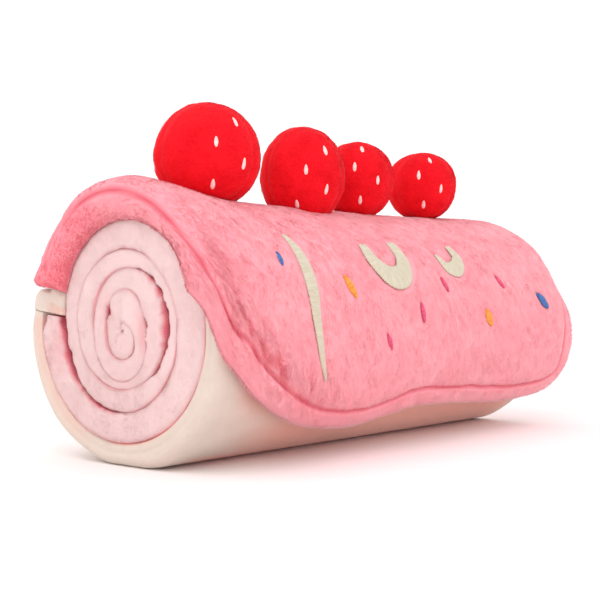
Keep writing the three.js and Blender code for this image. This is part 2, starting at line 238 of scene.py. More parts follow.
def pile_fabric(name, tip, root, sheen, hair, patch, bumps, deep=None):
    """tip and root are the colours of the hairs' ends and feet, deep the colour of painted shade and
    reflection, hair and patch sizes in mm.
    """
    material, tree, shader = new_material(name)
    tufts = ramp(tree, hills(tree, hair, 3, 0.6), 0.35, 0.68)
    colour = blend(tree, patches(tree, patch), tip, root)
    colour = blend(tree, ramp(tree, tufts, 0, 1, PARTED, 0), colour, root)
    if deep:
        colour = blend(tree, kept(tree, "deep"), colour, deep)
    soft_finish(tree, shader, colour, ramp(tree, tufts, 0, 1, 1.0, 0.82), sheen)
    layers = [(hills(tree, sizes, 2, 0.6), height) for sizes, height in bumps]
    tree.links.new(raised(tree, layers), shader.inputs["Normal"])
    return material


# The deep colours are painted shade, laid into crevices, seams and shaded parts, and on the velvet also
# painted pink reflection.
fleece = pile_fabric(
    "fleece", tip=(0.86, 0.66, 0.65), root=(0.83, 0.60, 0.59), sheen=(0.15, 0.5, (1, 0.9, 0.9)),
    hair=(1.1, 1.1, 1.1), patch=(14, 14, 14), deep=(0.76, 0.16, 0.21),
    bumps=[((3.4, 3.4, 3.4), 0.12), ((1.1, 1.1, 1.1), 0.06)])
velvet = pile_fabric(
    "cream velvet", tip=(0.70, 0.61, 0.54), root=(0.65, 0.54, 0.46), sheen=(0.3, 0.4, (1, 0.96, 0.9)),
    hair=(0.5, 1.4, 0.5), patch=(22, 10, 10), deep=(0.84, 0.30, 0.23),
    bumps=[((5, 9, 5), 0.5), ((0.5, 1.2, 0.5), 0.1)])
plush = pile_fabric(
    "frosting plush", tip=(0.94, 0.39, 0.44), root=(0.90, 0.28, 0.33), sheen=(0.25, 0.4, (1, 0.75, 0.8)),
    hair=(0.7, 2.4, 1.0), patch=(26, 18, 20), deep=(0.60, 0.06, 0.10),
    bumps=[((2.0, 6.0, 2.0), 0.4), ((0.6, 2.4, 0.8), 0.2)])
berry_plush = pile_fabric(
    "strawberry plush", tip=(0.88, 0.008, 0.018), root=(0.62, 0.0, 0.006), sheen=(0.3, 0.3, (1, 0.25, 0.3)),
    hair=(1.8, 0.6, 0.8), patch=(12, 9, 12),
    bumps=[((4, 2, 2), 0.4), ((1.6, 0.5, 0.6), 0.14)])
print("pile fabrics:", fleece.name, velvet.name, plush.name, berry_plush.name)

# %% [markdown]
# Satin stitches are close parallel threads with a silky gloss. A wave in the material could stand
# for them, but it would lie flat on the pile. Here the ridges are modelled further down, so the
# material only adds each thread's own shade and the gloss.

# %% Satin thread


def satin(name, colour, shade):
    """A thread of this colour, with some threads in the shade's colour."""
    material, tree, shader = new_material(name)
    threads = ramp(tree, hills(tree, (0.45, 4, 1), 2), 0.3, 0.7)
    tree.links.new(blend(tree, threads, colour, shade), shader.inputs["Base Color"])
    tree.links.new(ramp(tree, threads, 0, 1, 0.42, 0.6), shader.inputs["Roughness"])
    shader.inputs["Sheen Weight"].default_value = 0.15
    tree.links.new(raised(tree, [(hills(tree, (0.22, 3, 1)), 0.06)]), shader.inputs["Normal"])
    return material


cream_thread = satin("cream thread", (0.66, 0.60, 0.47), (0.56, 0.49, 0.36))
seed_thread = satin("seed thread", (0.95, 0.78, 0.74), (0.85, 0.55, 0.52))
SPRINKLE_THREADS = {
    "blue": satin("blue thread", (0.03, 0.16, 0.46), (0.02, 0.09, 0.30)),
    "orange": satin("orange thread", (0.90, 0.36, 0.02), (0.74, 0.20, 0.01)),
    "pink": satin("pink thread", (0.78, 0.07, 0.20), (0.60, 0.04, 0.12)),
}
print("threads:", cream_thread.name, seed_thread.name, list(SPRINKLE_THREADS))

# %% [markdown]
# Shapes are grids of points worked out with arrays. These helpers smooth between values, follow a
# curve through given places and make soft random hills, always the same ones for the same seed.

# %% Shape helpers


def rad(degrees):
    return np.radians(degrees)


def smooth(x, low, high):
    """0 below low, 1 above high and an easy curve between."""
    t = np.clip((x - low) / (high - low), 0, 1)
    return t * t * (3 - 2 * t)


def fade(x, low, high):
    """1 below low, 0 above high and an easy curve between."""
    return 1 - smooth(x, low, high)


def bell(x, wide):
    """1 at 0, falling off to both sides within about this width."""
    return np.exp(-((x / wide) ** 2))


def through(places, values):
    """A smooth curve through values at the given places, as a function."""
    p, v = np.asarray(places, float), np.asarray(values, float)

    def at(x):
        x = np.clip(np.asarray(x, float), p[0], p[-1])
        i = np.clip(np.searchsorted(p, x, side="right"), 1, len(p) - 1)
        t0, t1 = p[i - 1], p[i]
        before, after = np.where(i == 1, i, i - 2), np.where(i == len(p) - 1, i - 1, i + 1)
        half = (t1 - t0) / 2
        w0 = half / np.where(i == 1, t0 - t1, t0 - p[before])
        w1 = half / np.where(i == len(p) - 1, t0 - t1, p[after] - t1)
        u = (x - t0) / (t1 - t0)
        u2, u3 = u * u, u ** 3
        return (
            v[before] * (-w0 * u3 + 2 * w0 * u2 - w0 * u)
            + v[i - 1] * ((1 + w0) * u3 + (-1.5 - 2 * w0) * u2 + (-0.5 + w0) * u + 1)
            + v[i] * ((-1 - w1) * u3 + (1.5 + w1) * u2 + 0.5 * u)
            + v[after] * (w1 * u3 - w1 * u2))

    return at


def random_hills(points, size, seed):
    """Soft hills between -1 and 1, about one for each size, at every point."""
    cell = np.asarray(points, float) / size + seed * 31.7
    corner = np.floor(cell).astype(np.int64)
    part = cell - corner
    ease = part * part * (3 - 2 * part)
    total = np.zeros(cell.shape[:-1])
    for step in itertools.product((0, 1), repeat=3):
        at = corner + step
        mixed = at[..., 0] * 73856093 ^ at[..., 1] * 19349663 ^ at[..., 2] * 83492791
        mixed = (mixed ^ (mixed >> 13)) * 1274126177
        height = ((mixed ^ (mixed >> 16)) & 0xFFFF) / 0xFFFF
        total += height * np.prod(np.where(np.array(step) == 1, ease, 1 - ease), axis=-1)
    return total * 2 - 1


def around(x, angle, radius, middle_y=0.0, middle_z=AXIS_HEIGHT):
    """The place at this distance from the axis, round the roll by this angle from the top."""
    a = rad(angle)
    x, y, z = np.broadcast_arrays(x, middle_y - radius * np.sin(a), middle_z + radius * np.cos(a))
    return np.stack([x, y, z], axis=-1)


def grid_faces(rows, columns, close_rows=False, close_columns=False, start=0):
    """Four-sided faces between the neighbours in a grid of points."""
    i = np.arange(rows if close_rows else rows - 1)[:, None]
    j = np.arange(columns if close_columns else columns - 1)[None, :]
    k, m = (i + 1) % rows, (j + 1) % columns
    return (np.stack([i * columns + j, i * columns + m, k * columns + m, k * columns + j], -1)
            .reshape(-1, 4) + start)


def tube_faces(rows, columns):
    """The faces of a tube that is closed all round, with a flat cap on each end."""
    j = np.arange(1, columns - 1)
    first = np.stack([0 * j, j + 1, j], axis=-1)
    last = np.stack([0 * j, j, j + 1], axis=-1) + (rows - 1) * columns
    return [grid_faces(rows, columns, close_columns=True), first, last]


def unit(vectors):
    return vectors / np.maximum(np.linalg.norm(vectors, axis=-1, keepdims=True), 1e-9)


def normals_of(points):
    """A direction square to the skin at each point of a grid, which may still have to be turned."""
    return unit(np.cross(np.gradient(points, axis=0), np.gradient(points, axis=1)))


# %% [markdown]
# One helper turns points and faces into a piece of the toy. Meshes could be filled point by point, but
# pieces this fine are made much faster with whole arrays. It turns the faces outwards, keeps the grain and
# other values at the points, gives the piece its materials, hangs it under the frame's root and hides the
# part of the frame that it replaces.

# %% Make a piece


def piece(name, points, faces, materials, node=None, values=None, wears=None,
          loose=False, flat=None):
    """values are kept at the points, and wears says which material each face has. Loose faces
    aren't turned outwards, and flat gives every corner a place on a flat map."""
    points = np.asarray(points, float).reshape(-1, 3)
    faces = [np.asarray(f) for f in (faces if isinstance(faces, list) else [faces])]
    volume = 0.0
    for block in faces:
        a, b, c = points[block[:, 0]], points[block[:, 1]], points[block[:, 2]]
        volume += np.einsum("ij,ij->i", a, np.cross(b, c)).sum()
        if block.shape[1] == 4:
            d = points[block[:, 3]]
            volume += np.einsum("ij,ij->i", a, np.cross(c, d)).sum()
    if volume < 0 and not loose:
        faces = [block[:, ::-1] for block in faces]
    mesh = bpy.data.meshes.new(name)
    sizes = np.concatenate([np.full(len(block), block.shape[1]) for block in faces])
    corners = np.concatenate([block.ravel() for block in faces]).astype(np.int32)
    mesh.vertices.add(len(points))
    mesh.vertices.foreach_set("co", in_metres(points).ravel())
    mesh.loops.add(len(corners))
    mesh.loops.foreach_set("vertex_index", corners)
    mesh.polygons.add(len(sizes))
    mesh.polygons.foreach_set("loop_start", (np.cumsum(sizes) - sizes).astype(np.int32))
    mesh.update(calc_edges=True)
    for key, numbers in (values or {}).items():
        numbers = np.asarray(numbers, float)
        kind = "FLOAT_VECTOR" if numbers.shape[-1:] == (3,) else "FLOAT"
        held = mesh.attributes.new(key, kind, "POINT")
        held.data.foreach_set("vector" if kind == "FLOAT_VECTOR" else "value", numbers.ravel())
    if flat is not None:
        mesh.uv_layers.new(name="OFBake").data.foreach_set("uv", np.asarray(flat, float).ravel())
    for material in materials:
        mesh.materials.append(material)
    if wears is not None:
        mesh.polygons.foreach_set("material_index", np.asarray(wears, np.int32))
    mesh.shade_smooth()
    thing = bpy.data.objects.new(name, mesh)
    bpy.context.scene.collection.objects.link(thing)
    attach(thing, "root")
    if node:
        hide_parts(node)
    print(name, "has", sum(len(f) * (f.shape[1] - 2) for f in faces), "triangles")
    return thing


# %% [markdown]
# Bumps alone leave the outline of a plush toy hard. So each pile fabric also gets real hairs, far
# fewer than it has but long enough to fray its edges. A hair system would have to be turned into a
# mesh in the end, so they are made as one: thin blades that grow out of the skin's own grid and
# lie the way the pile is brushed. They are spread evenly by area, and neighbours lean alike,
# because pile stands in clumps. Each blade also gets a spot of its own on a flat map, at its
# root's place in the grid.

# %% Hairs
SPOT = 0.0008  # half the width of a blade's spot on the flat map
FOOT_SUNK = 0.15


def pick(grid, row, column, u, v):
    """Values inside the cells of a grid, at shares u and v of a cell."""
    u, v = u[:, None], v[:, None]
    near = grid[row, column] * (1 - v) + grid[row, column + 1] * v
    far = grid[row + 1, column] * (1 - v) + grid[row + 1, column + 1] * v
    return near * (1 - u) + far * u


def hairs(name, count, skin, normal, way, grains, long, wide, lift, density, material, seed,
          swirl=0.6, deep=0.0):
    """Blades on a grid of points: way is where the pile is brushed, lift how steeply it stands."""
    rng = np.random.default_rng(seed)
    across, down = skin[1:, :-1] - skin[:-1, :-1], skin[:-1, 1:] - skin[:-1, :-1]
    area = np.linalg.norm(np.cross(across, down), axis=-1) * density[:-1, :-1]
    total = np.cumsum(area.ravel())
    cell = np.searchsorted(total, (np.arange(count) + rng.random(count)) / count * total[-1])
    row, column = np.divmod(np.minimum(cell, area.size - 1), area.shape[1])
    u, v = rng.random(count), rng.random(count)
    root, up, brushed, at = (pick(g, row, column, u, v) for g in (skin, normal, way, grains))
    up, brushed = unit(up), unit(brushed)
    size, tilt, tint = (
        pick(np.broadcast_to(g, density.shape)[..., None], row, column, u, v)[:, 0]
        for g in (long, lift, deep))
    clumps = random_hills(at, 6.0, seed) + 0.8 * random_hills(at, 2.2, seed + 1)
    turn = swirl * clumps + rng.normal(0, 0.25, count)
    lean = brushed * np.cos(turn)[:, None] + np.cross(up, brushed) * np.sin(turn)[:, None]
    stand = tilt + 0.2 * random_hills(at, 2.6, seed + 2) + rng.normal(0, 0.07, count)
    long_way = unit(lean + up * np.clip(stand, 0.05, 1.4)[:, None])
    to_tip = long_way * (size * rng.uniform(0.6, 1.15, count))[:, None]
    half = unit(np.cross(to_tip, up)) * (wide * rng.uniform(0.35, 0.6, count))[:, None]
    foot = root - up * FOOT_SUNK
    points = np.stack([foot - half, foot + half, foot + to_tip], axis=1).reshape(-1, 3)
    values = {
        "grain": np.repeat(at, 3, axis=0), "tip": np.tile([0.0, 0.0, 1.0], count),
        "deep": np.repeat(tint, 3), "custom_normal": np.repeat(unit(up + 0.25 * long_way), 3, axis=0)}
    flat = np.stack([(row + u) / skin.shape[0], (column + v) / skin.shape[1]], axis=-1)
    flat = np.clip(flat, 0.002, 0.998)[:, None] + SPOT * np.array([(-1, -1), (1, -1), (0, 1)])
    faces = np.arange(count * 3).reshape(-1, 3)
    return piece(name, points, faces, [material], values=values, loose=True, flat=flat)


# %% [markdown]
# A hair is darker at its foot, where the light hardly reaches, and pale at its tip.

# %% Hair colour


def hair_colour(name, tip, root, sheen, patch, most=0.5, deep=None):
    """Like a pile fabric, but coloured from a hair's own foot to its tip, with deep as the colour of painted
    shade.
    """
    material, tree, shader = new_material(name)
    colour = blend(tree, ramp(tree, kept(tree, "tip"), 0, 0.7), root, tip)
    colour = blend(tree, patches(tree, patch, most), colour, root)
    if deep:
        colour = blend(tree, kept(tree, "deep"), colour, deep)
    soft_finish(tree, shader, colour, ramp(tree, kept(tree, "tip"), 0, 1, 1.0, 0.8), sheen)
    return material


# As on the fabrics, each deep colour is painted shade, and on the velvet's hairs painted pink reflection
# too.
fleece_hair = hair_colour(
    "fleece hair", tip=(0.88, 0.69, 0.68), root=(0.85, 0.62, 0.61), sheen=(0.1, 0.5, (1, 0.9, 0.9)),
    patch=(14, 14, 14), deep=(0.80, 0.28, 0.32))
plush_hair = hair_colour(
    "frosting hair", tip=(0.95, 0.42, 0.47), root=(0.90, 0.31, 0.36), sheen=(0.65, 0.35, (1, 0.86, 0.9)),
    patch=(26, 18, 20), most=0.8, deep=(0.78, 0.06, 0.09))
berry_hair = hair_colour(
    "strawberry hair", tip=(0.90, 0.012, 0.022), root=(0.70, 0.0, 0.008),
    sheen=(0.25, 0.3, (1, 0.25, 0.3)), patch=(12, 9, 12))
velvet_hair = hair_colour(
    "velvet hair", tip=(0.72, 0.63, 0.56), root=(0.67, 0.57, 0.49), sheen=(0.2, 0.4, (1, 0.96, 0.9)),
    patch=(22, 10, 10), deep=(0.84, 0.30, 0.23))
print("hairs:", fleece_hair.name, plush_hair.name, berry_hair.name, velvet_hair.name)

# %% [markdown]
# The mat is one long strip of fleece, rolled up. Seen from the end it is a spiral line with fleece
# on both sides. The line is known at every quarter turn, because a soft roll is never round: it
# sags, and its middle sits a little high and to the back. A formula for an even spiral would look
# machined, so a smooth curve is drawn through those places instead. A turn of the mat fills the
# gap between the line and the same line one turn further in.

# %% The spiral line
CORE_Y = 5.0
CORE_Z = 50.0
QUARTERS = [52, 39.3, 38.5, 42, 37.6, 29.3, 27.2, 30.3, 26, 22, 23.5, 23]
CORE_QUARTERS = [16, 19, 12.5, 15, 10, 11, 4, 3, 1.6, 0.7, 0.5, 0.4, 0.3]
COIL = QUARTERS + CORE_QUARTERS
coil_radius = through([i * 90 for i in range(len(COIL))], COIL)


def coil_point(along, outwards=0.0):
    """A place on the spiral line, so many degrees in from its outer end at the back."""
    inwards = smooth(along, 0, 900)
    radius = np.maximum(coil_radius(along) + outwards, 0.5)
    return around(0.0, 270 - along, radius, CORE_Y * inwards, AXIS_HEIGHT + (CORE_Z - AXIS_HEIGHT) * inwards)


# %% [markdown]
# Where turns press on each other only a shallow valley shows. In a few places they stand apart and
# one looks into a deep pink gap. So a table says where along the line a crevice opens, how wide
# and how deep, and everywhere else it is closed.

# %% Crevices
CREVICES = [  # the middle of each along the line, its half length in degrees, width and depth in mm
    (892, 52, 1.3, 3.6),
    (950, 40, 0.5, 1.8),
    (373, 40, 1.0, 2.6),
    (425, 30, 0.2, 1.3),
    (625, 36, 0.2, 1.3),
    (1255, 34, 0.9, 1.8),
    (1402, 18, 1.2, 2.6),
    (1560, 20, 0.1, 0.6),
]
CLOSED_WIDTH = -0.12
SHALLOW = 0.02
VALLEY = 0.26
RAGGED = 0.5


def crevice(along):
    """How wide and how deep the crevice is there."""
    width = np.full(np.shape(along), CLOSED_WIDTH)
    depth = np.full(np.shape(along), SHALLOW) * (1 + 0.6 * np.sin(rad(along * 2.3)))
    spot = np.stack([along / 9, 0 * along, 0 * along], axis=-1)
    ragged = 1 + RAGGED * random_hills(spot, 1.0, 3) + RAGGED * random_hills(spot * 2.7, 1.0, 4)
    for middle, half, wide, deep in CREVICES:
        share = np.cos(np.clip(np.abs(along - middle) / half, 0, 1) * math.pi / 2) ** 1.2
        width += wide * share * ragged
        depth += deep * share * ragged
    return width, depth


# %% [markdown]
# The mat is cut into sections along the line, all about one millimetre apart.

# %% The mat's sections
MAT_FROM = -7.7
MAT_TO = 1790.0
MAT_GRAIN = 0.95
fine = np.arange(MAT_FROM, MAT_TO, 0.5)
length = np.concatenate([[0], np.cumsum(rad(0.5) * np.maximum(coil_radius(fine[:-1] + 90), 3))])
MAT_AT = np.interp(np.arange(0, length[-1], MAT_GRAIN), length, fine)[:, None]
print("the mat's outer side is", round(length[-1]), "mm long, in", len(MAT_AT), "sections")

# %% [markdown]
# Each section is a long flat band with both ends rounded over. The near end gets many points, the
# long hidden sides only a few. Small hills make the fleece lumpy, and the core sinks in a little.

# %% The mat's form
MAT_RIM_FAR = 3.0
MAT_LUMPS = ((9.0, 0.4), (3.0, 0.1), (1.2, 0.05))
MAT_WAVE = 0.7
CORE_SUNK = 1.2
CORE_AT = 1610.0
near_side = rad(np.linspace(-90, 90, 17))
far_side = rad(np.linspace(90, -90, 11))
long_side = np.array([8.0, 14, 40])
on_near = slice(0, len(near_side))
on_far = slice(len(near_side) + len(long_side), -len(long_side))


def mat_wander(along):
    """How far the mat's edge stands out of the roll there: no roll is wound quite even."""
    wave = MAT_WAVE * np.sin(rad(along * 1.7)) * fade(along, 1380, 1560)
    return wave - CORE_SUNK * along / CORE_AT


wide_out, deep_out = crevice(MAT_AT)
wide_in, deep_in = crevice(MAT_AT + 360)
outer = coil_point(MAT_AT, -wide_out / 2)
inner = coil_point(MAT_AT + 360, wide_in / 2)
middle = (outer + inner) / 2
from_end = np.minimum(MAT_AT - MAT_AT[0], MAT_AT[-1] - MAT_AT)
half = (outer - middle) * np.sqrt(np.clip(from_end / 9, 0.3, 1))[..., None]
calm = fade(MAT_AT, 1520, 1640)
sunk = np.where(near_side < 0, deep_in, deep_out) * (1 - np.cos(near_side) ** 0.7)
sunk += VALLEY * calm * np.abs(np.sin(near_side)) ** 6
wander = mat_wander(MAT_AT)
long_x = ROLL_NEAR + long_side + 0 * wander
far_x = ROLL_FAR + wander - MAT_RIM_FAR * (1 - np.cos(far_side) ** 0.8)
mat_x = np.concatenate([ROLL_NEAR - wander + sunk, long_x, far_x, long_x[:, ::-1]], axis=1)
across = np.concatenate([np.sin(near_side), 0 * long_side + 1, np.sin(far_side), 0 * long_side - 1])
mat = middle + half * across[:, None]
mat[..., 0] = mat_x
lumps = sum(random_hills(mat, size, i + 1) * height for i, (size, height) in enumerate(MAT_LUMPS))
mat[:, on_near, 0] -= lumps[:, on_near]
mat[:, on_far, 0] += lumps[:, on_far]
print("each section has", len(across), "points, and the deepest crevice is", sunk.max().round(1), "mm deep")

# %% [markdown]
# The fleece is darkened with painted shade where little light reaches. It is deepest in the crevices and
# runs in a thin line along the whole spiral where the turns meet. It lies in a few soft patches beside the
# pits and crevices, and in a warm border where the outermost turn meets the cover in front. At the far end
# the edges of the turns get it too.

# %% The mat's painted shade
PAINTED_LINE_SHADE = 0.45
PAINTED_BORDER_SHADE = 0.55
PAINTED_SHADE_PATCHES = [  # y, z, half width, half height and strength of each soft patch of painted shade beside the pits and crevices
    (-5.6, 49, 2.6, 8, 0.40), (14.5, 58, 3, 5, 0.25), (41, 44, 4, 12, 0.30), (46, 40, 5, 6, 0.20)]
near = mat[:, on_near]
border = PAINTED_BORDER_SHADE * smooth(MAT_AT, 70, 110) * fade(MAT_AT, 215, 250)
painted_shades = [
    np.clip((sunk - 0.45) / 1.3, 0, 1), PAINTED_LINE_SHADE * calm * np.abs(np.sin(near_side)) ** 14,
    border * smooth(np.sin(near_side), 0.88, 1.0)]
for y, z, wide, high, strong in PAINTED_SHADE_PATCHES:
    off = ((near[..., 1] - y) / wide) ** 2 + ((near[..., 2] - z) / high) ** 2
    painted_shades.append(strong * np.exp(-off))
mat_painted_shade = np.ones(mat.shape[:2])
mat_painted_shade[:, on_near] = np.maximum.reduce(painted_shades)
mat_painted_shade[:, on_far] = 0.5 * np.abs(np.sin(far_side)) ** 6
print("the near end's tint is", mat_painted_shade[:, on_near].mean().round(2), "on average")

# %% [markdown]
# Only the near end gets hairs. They stand up, because fleece is cut and not brushed.

# %% The rolled mat
facing = normals_of(near)
facing *= -np.sign(facing[..., :1])
# The hairs take the mat's painted shade, and are fewer where it is strongest.
hairs(
    "fleece_pile", 95000, near, facing, np.gradient(near, axis=0), near,
    0.7 + 0.5 * np.abs(np.sin(near_side)) ** 8, 0.22, 0.9, 1 - 0.4 * mat_painted_shade[:, on_near],
    fleece_hair, 40, swirl=0.9, deep=mat_painted_shade[:, on_near])
piece(
    "fleece_mat", mat, tube_faces(*mat_x.shape), [fleece], "rolled_mat",
    {"grain": mat, "deep": mat_painted_shade})

# %% [markdown]
# The cover is a thick velvet sleeve round the coil. It is not round either: it is flat where it
# lies on the floor and bulges at the back, where the mat's outer end lies under it, and there it
# steps in over that end. Under the frosting its rim is tucked back a little.

# %% The cover's outline
BACK_RISE = 3.5
COVER_STEP = 278.5
LEDGE_CORNER = -76.2
LEDGE_FOOT = -74.6
cover_radius = through(
    [-90, -84, LEDGE_CORNER, LEDGE_FOOT, -72, -60, -45, -20, 0, 45, 90,
     130, 150, 162, 172, 180, 188, 200, 215, 230, 251, 270, COVER_STEP],
    [60.4, 59.4, 57.6, 52, 51.2, 49.6, 48.2, 46.6, 45.8, 47, 47.5,
     47.5, 48, 48.9, 48.8, 48.8, 49.2, 51, 52.8, 55.8, 59, 60.4, 59.2])


# %% [markdown]
# The frosting's front edge is needed already here, because the velvet gets painted shade and pink reflection
# just under it, and so is what the frosting does at the back: it is pulled up there, with what lies under
# it.

# %% Where the frosting lies
FLAP_NEAR = -133.4
FLAP_FAR = 124.5
front_edge = through(  # the angle round the roll, by the place along it
    [FLAP_NEAR, -131, -128, -124, -117, -107, -98, -86, -72, -60,
     -38, -19, -8, 12, 46, 79, 100, 112, 119, FLAP_FAR],
    [70, 79, 89, 96.5, 103, 112, 118, 125, 131, 134,
     136.5, 132, 128.6, 128.2, 130.6, 133, 132, 129, 124, 113])


def under_frosting(angle):
    """1 where the frosting covers the ends of the roll, and 0 where the cover's rim shows."""
    a = np.where(angle > 200, angle - 360, angle)
    return smooth(a, -72, -62) * fade(a, 66, 80)


def back_rise(x):
    """How many degrees the frosting's back corner is pulled up, which is only at the near end."""
    return BACK_RISE * fade(x, ROLL_NEAR + 3, ROLL_NEAR + 26)


print("the frosting spans", round(FLAP_FAR - FLAP_NEAR), "mm before its ends are curled over")

# %% [markdown]
# The cover could be a tube with its ends bent in, but its two rims differ: the outer one is round
# and full, the inner one hardly turns at the back. So each section is a band between the coil and
# the outline, and both rims are rounded by how far a point is from either side.

# %% The cover's form
COVER_RIM = 5.5
RIM_ROUND = 3.8
INNER_ROUND = 1.8
TAB_FOLD = 1.3
COVER_TUCK = 4.5
COVER_ANGLE = 1.4
angle = np.concatenate([
    np.linspace(COVER_STEP - 360 + 0.4, LEDGE_CORNER - 0.5, 4),
    np.linspace(LEDGE_CORNER, LEDGE_FOOT, 5),
    np.arange(LEDGE_FOOT + 0.5, COVER_STEP - 0.4, COVER_ANGLE), [COVER_STEP]])[:, None]
near_side = rad(np.linspace(-90, 90, 31))
far_side = rad(np.linspace(90, -90, 13))
long_x = np.linspace(ROLL_NEAR + COVER_RIM + 3, ROLL_FAR - COVER_RIM - 3, 84)
inside_x = np.linspace(ROLL_FAR - 20, ROLL_NEAR + 20, 5)
on_near = slice(0, len(near_side))
on_far = slice(len(near_side) + len(long_x), -len(inside_x))


def rounded(turn):
    """How far a rim has fallen back, by a turn from 0 on its flat to 1 at its edge."""
    return 1 - (1 - turn ** 2) ** 0.4


def inner_rim(angle):
    """How far the cover's rim rounds over on the mat's side: hardly at all at the back."""
    return 2.4 - 1.8 * smooth(angle, 190, 220)


outer = around(0.0, angle, cover_radius(angle))
outer[..., 2] = np.maximum(outer[..., 2], 0)
inner = coil_point(270 - angle, 0.1)
middle = (outer + inner) / 2
half = outer - middle
reach = np.linalg.norm(half, axis=-1)
across = np.concatenate([np.sin(near_side), 0 * long_x + 1, np.sin(far_side), 0 * inside_x - 1])
from_inside = (1 + across) * reach
from_outside = (1 - across) * reach
tuck = COVER_TUCK * under_frosting(angle)
near_x = ROLL_NEAR + tuck + COVER_RIM * rounded(np.clip(1 - from_outside[:, on_near] / RIM_ROUND, 0, 1))
near_x += inner_rim(angle) * rounded(np.clip(1 - from_inside[:, on_near] / INNER_ROUND, 0, 1))
near_x += TAB_FOLD * fade(angle, -79.5, -76.5) * fade(from_inside[:, on_near], 7.5, 9.5)
far_x = ROLL_FAR - tuck - COVER_RIM * (1 - np.cos(far_side) ** 0.8)
x = np.concatenate([near_x, long_x + 0 * tuck, far_x, inside_x + 0 * tuck], axis=1)
cover = middle + half * across[:, None]
rise = rad(back_rise(x) * (1 + across) / 2 * smooth(angle, -81.5, -77) * fade(angle, -74.6, -50))
y, z = cover[..., 1].copy(), cover[..., 2] - AXIS_HEIGHT
cover[..., 0] = x
cover[..., 1] = y * np.cos(rise) - z * np.sin(rise)
cover[..., 2] = y * np.sin(rise) + z * np.cos(rise) + AXIS_HEIGHT
print("the cover has", x.shape[0], "sections of", x.shape[1], "points")

# %% [markdown]
# The rim is sewn 4 mm from the mat with a line of small stitches, which pulls a faint groove.
# Velvet that is stuffed and rolled also creases: a few shallow dents run along the roll under the
# frosting, and the light catches them.

# %% The cover's creases
RIM_STITCH = 4.0
COVER_CREASES = [  # place along the roll, angle, length, width across and depth in mm
    (-62, 118, 26, 5, 1.3), (-38, 122, 20, 4, 1.1), (-75, 132, 22, 5, 0.9), (-20, 134, 30, 5, 0.8),
    (20, 140, 40, 6, 0.8), (60, 138, 30, 6, 0.8), (-95, 120, 14, 4, 0.7)]
outward = half / reach[..., None]
ends = np.zeros(x.shape[1])
ends[on_near] = 1
ends[on_far] = -1
soft = 0.5 * random_hills(cover, 24.0, 5) + 0.25 * random_hills(cover, 9.0, 6)
cover[..., 0] += (0.25 * bell(from_inside - RIM_STITCH, 0.9) - 0.5 * soft) * ends
dents = np.zeros(x.shape)
for place, at, long, wide, depth in COVER_CREASES:
    off_x = (x - place) / long
    off_a = rad(angle - at - 4 * np.sin(off_x * 2)) * 48 / wide
    dents += depth * np.exp(-(off_x ** 2) - off_a ** 2)
on_side = (across > 0.4) * (cover[..., 2] > 1.5) * smooth(x, ROLL_NEAR, ROLL_NEAR + 9)
lifted = (0.6 * soft - dents) * on_side * smooth(cover[..., 2], 1.5, 12)
cover += outward * lifted[..., None]
print("the creases are up to", dents.max().round(1), "mm deep")

# %% [markdown]
# The cream velvet is given painted pink reflection, for the pink that is thrown back by what is beside it,
# and painted shade where it lies in shade. This is kept as a tint, strongest along the shaded side.

# %% The cover's painted shade and reflection
in_front = angle > 60
at_rim = x < ROLL_NEAR + 8
before_end = fade(x, 96, 110)
painted_shade_and_reflection = np.maximum.reduce([
    # painted shade on the thin rim at the back, beside the mat, and in the fold just under the frosting
    0.25 * fade(from_inside, 0.5, 9) * smooth(angle, 196, 232) * smooth(COVER_STEP - angle, 0, 3) * at_rim,
    0.3 * fade(angle, -78.5, -75.5) * fade(from_inside, 6, 11) * (x < ROLL_NEAR + 6),
    # painted shade in the line where it meets the mat, and painted shade with pink reflection on the velvet
    # just below the frosting's edge
    0.6 * fade(from_inside, 0.4, 1.3) * fade(angle, 185, 205) * at_rim * in_front,
    0.6 * np.exp(-np.maximum(0, angle - front_edge(x)) / 9) * smooth(x, -116, -98) * in_front * before_end,
    # painted shade and pink reflection on the whole shaded side, and most of all close to the floor
    0.65 * smooth(angle, 106, 142) * fade(angle, 168, 182) * smooth(x, -112, -60) * before_end,
    smooth(angle, 150, 166) * fade(angle, 172, 192) * smooth(x, -122, -90) * before_end])
print("the warmest velvet has a tint of", painted_shade_and_reflection.max().round(2))

# %% [markdown]
# The velvet's hairs are short and close, and only those at the near end can be told apart. The
# step at the back is a cut edge, so its faces aren't shaded smooth.

# %% The sponge cover
facing = normals_of(cover)
sideways = np.einsum("ijk,ijk->ij", facing, outward * across[:, None])
facing *= np.sign(sideways - facing[..., 0] * (ends > 0))[..., None]
grains = np.stack([x, rad(angle) * 50 + 0 * x, from_inside], axis=-1)
furry = fade(x, -112, -70) * (cover[..., 2] > 0.6) * (from_inside > 0.3)
shown = slice(0, len(near_side) + 40)
# The velvet's hairs take the same painted shade and reflection.
hairs(
    "velvet_pile", 60000, cover[:, shown], facing[:, shown], np.gradient(cover, axis=1)[:, shown],
    grains[:, shown], 0.6, 0.21, 0.5, furry[:, shown], velvet_hair, 45,
    deep=painted_shade_and_reflection[:, shown])
velvet_cover = piece(
    "velvet_cover", cover, grid_faces(*x.shape, close_rows=True, close_columns=True), [velvet],
    "sponge_cover", {"grain": grains, "deep": painted_shade_and_reflection})
sides = velvet_cover.data.polygons
sides.foreach_set("use_smooth", np.arange(len(sides)) < (len(angle) - 1) * x.shape[1])

# %% [markdown]
# The frosting is a padded flap, sewn down along its back edge. Its front edge hangs in a long wave:
# a wide curve at the near corner and a tight one at the far end. Both margins curl over the ends
# of the roll. A point of it is given by three numbers: how far along the roll, how far round it,
# and whether it is on the inner face (0) or the outer one (1).

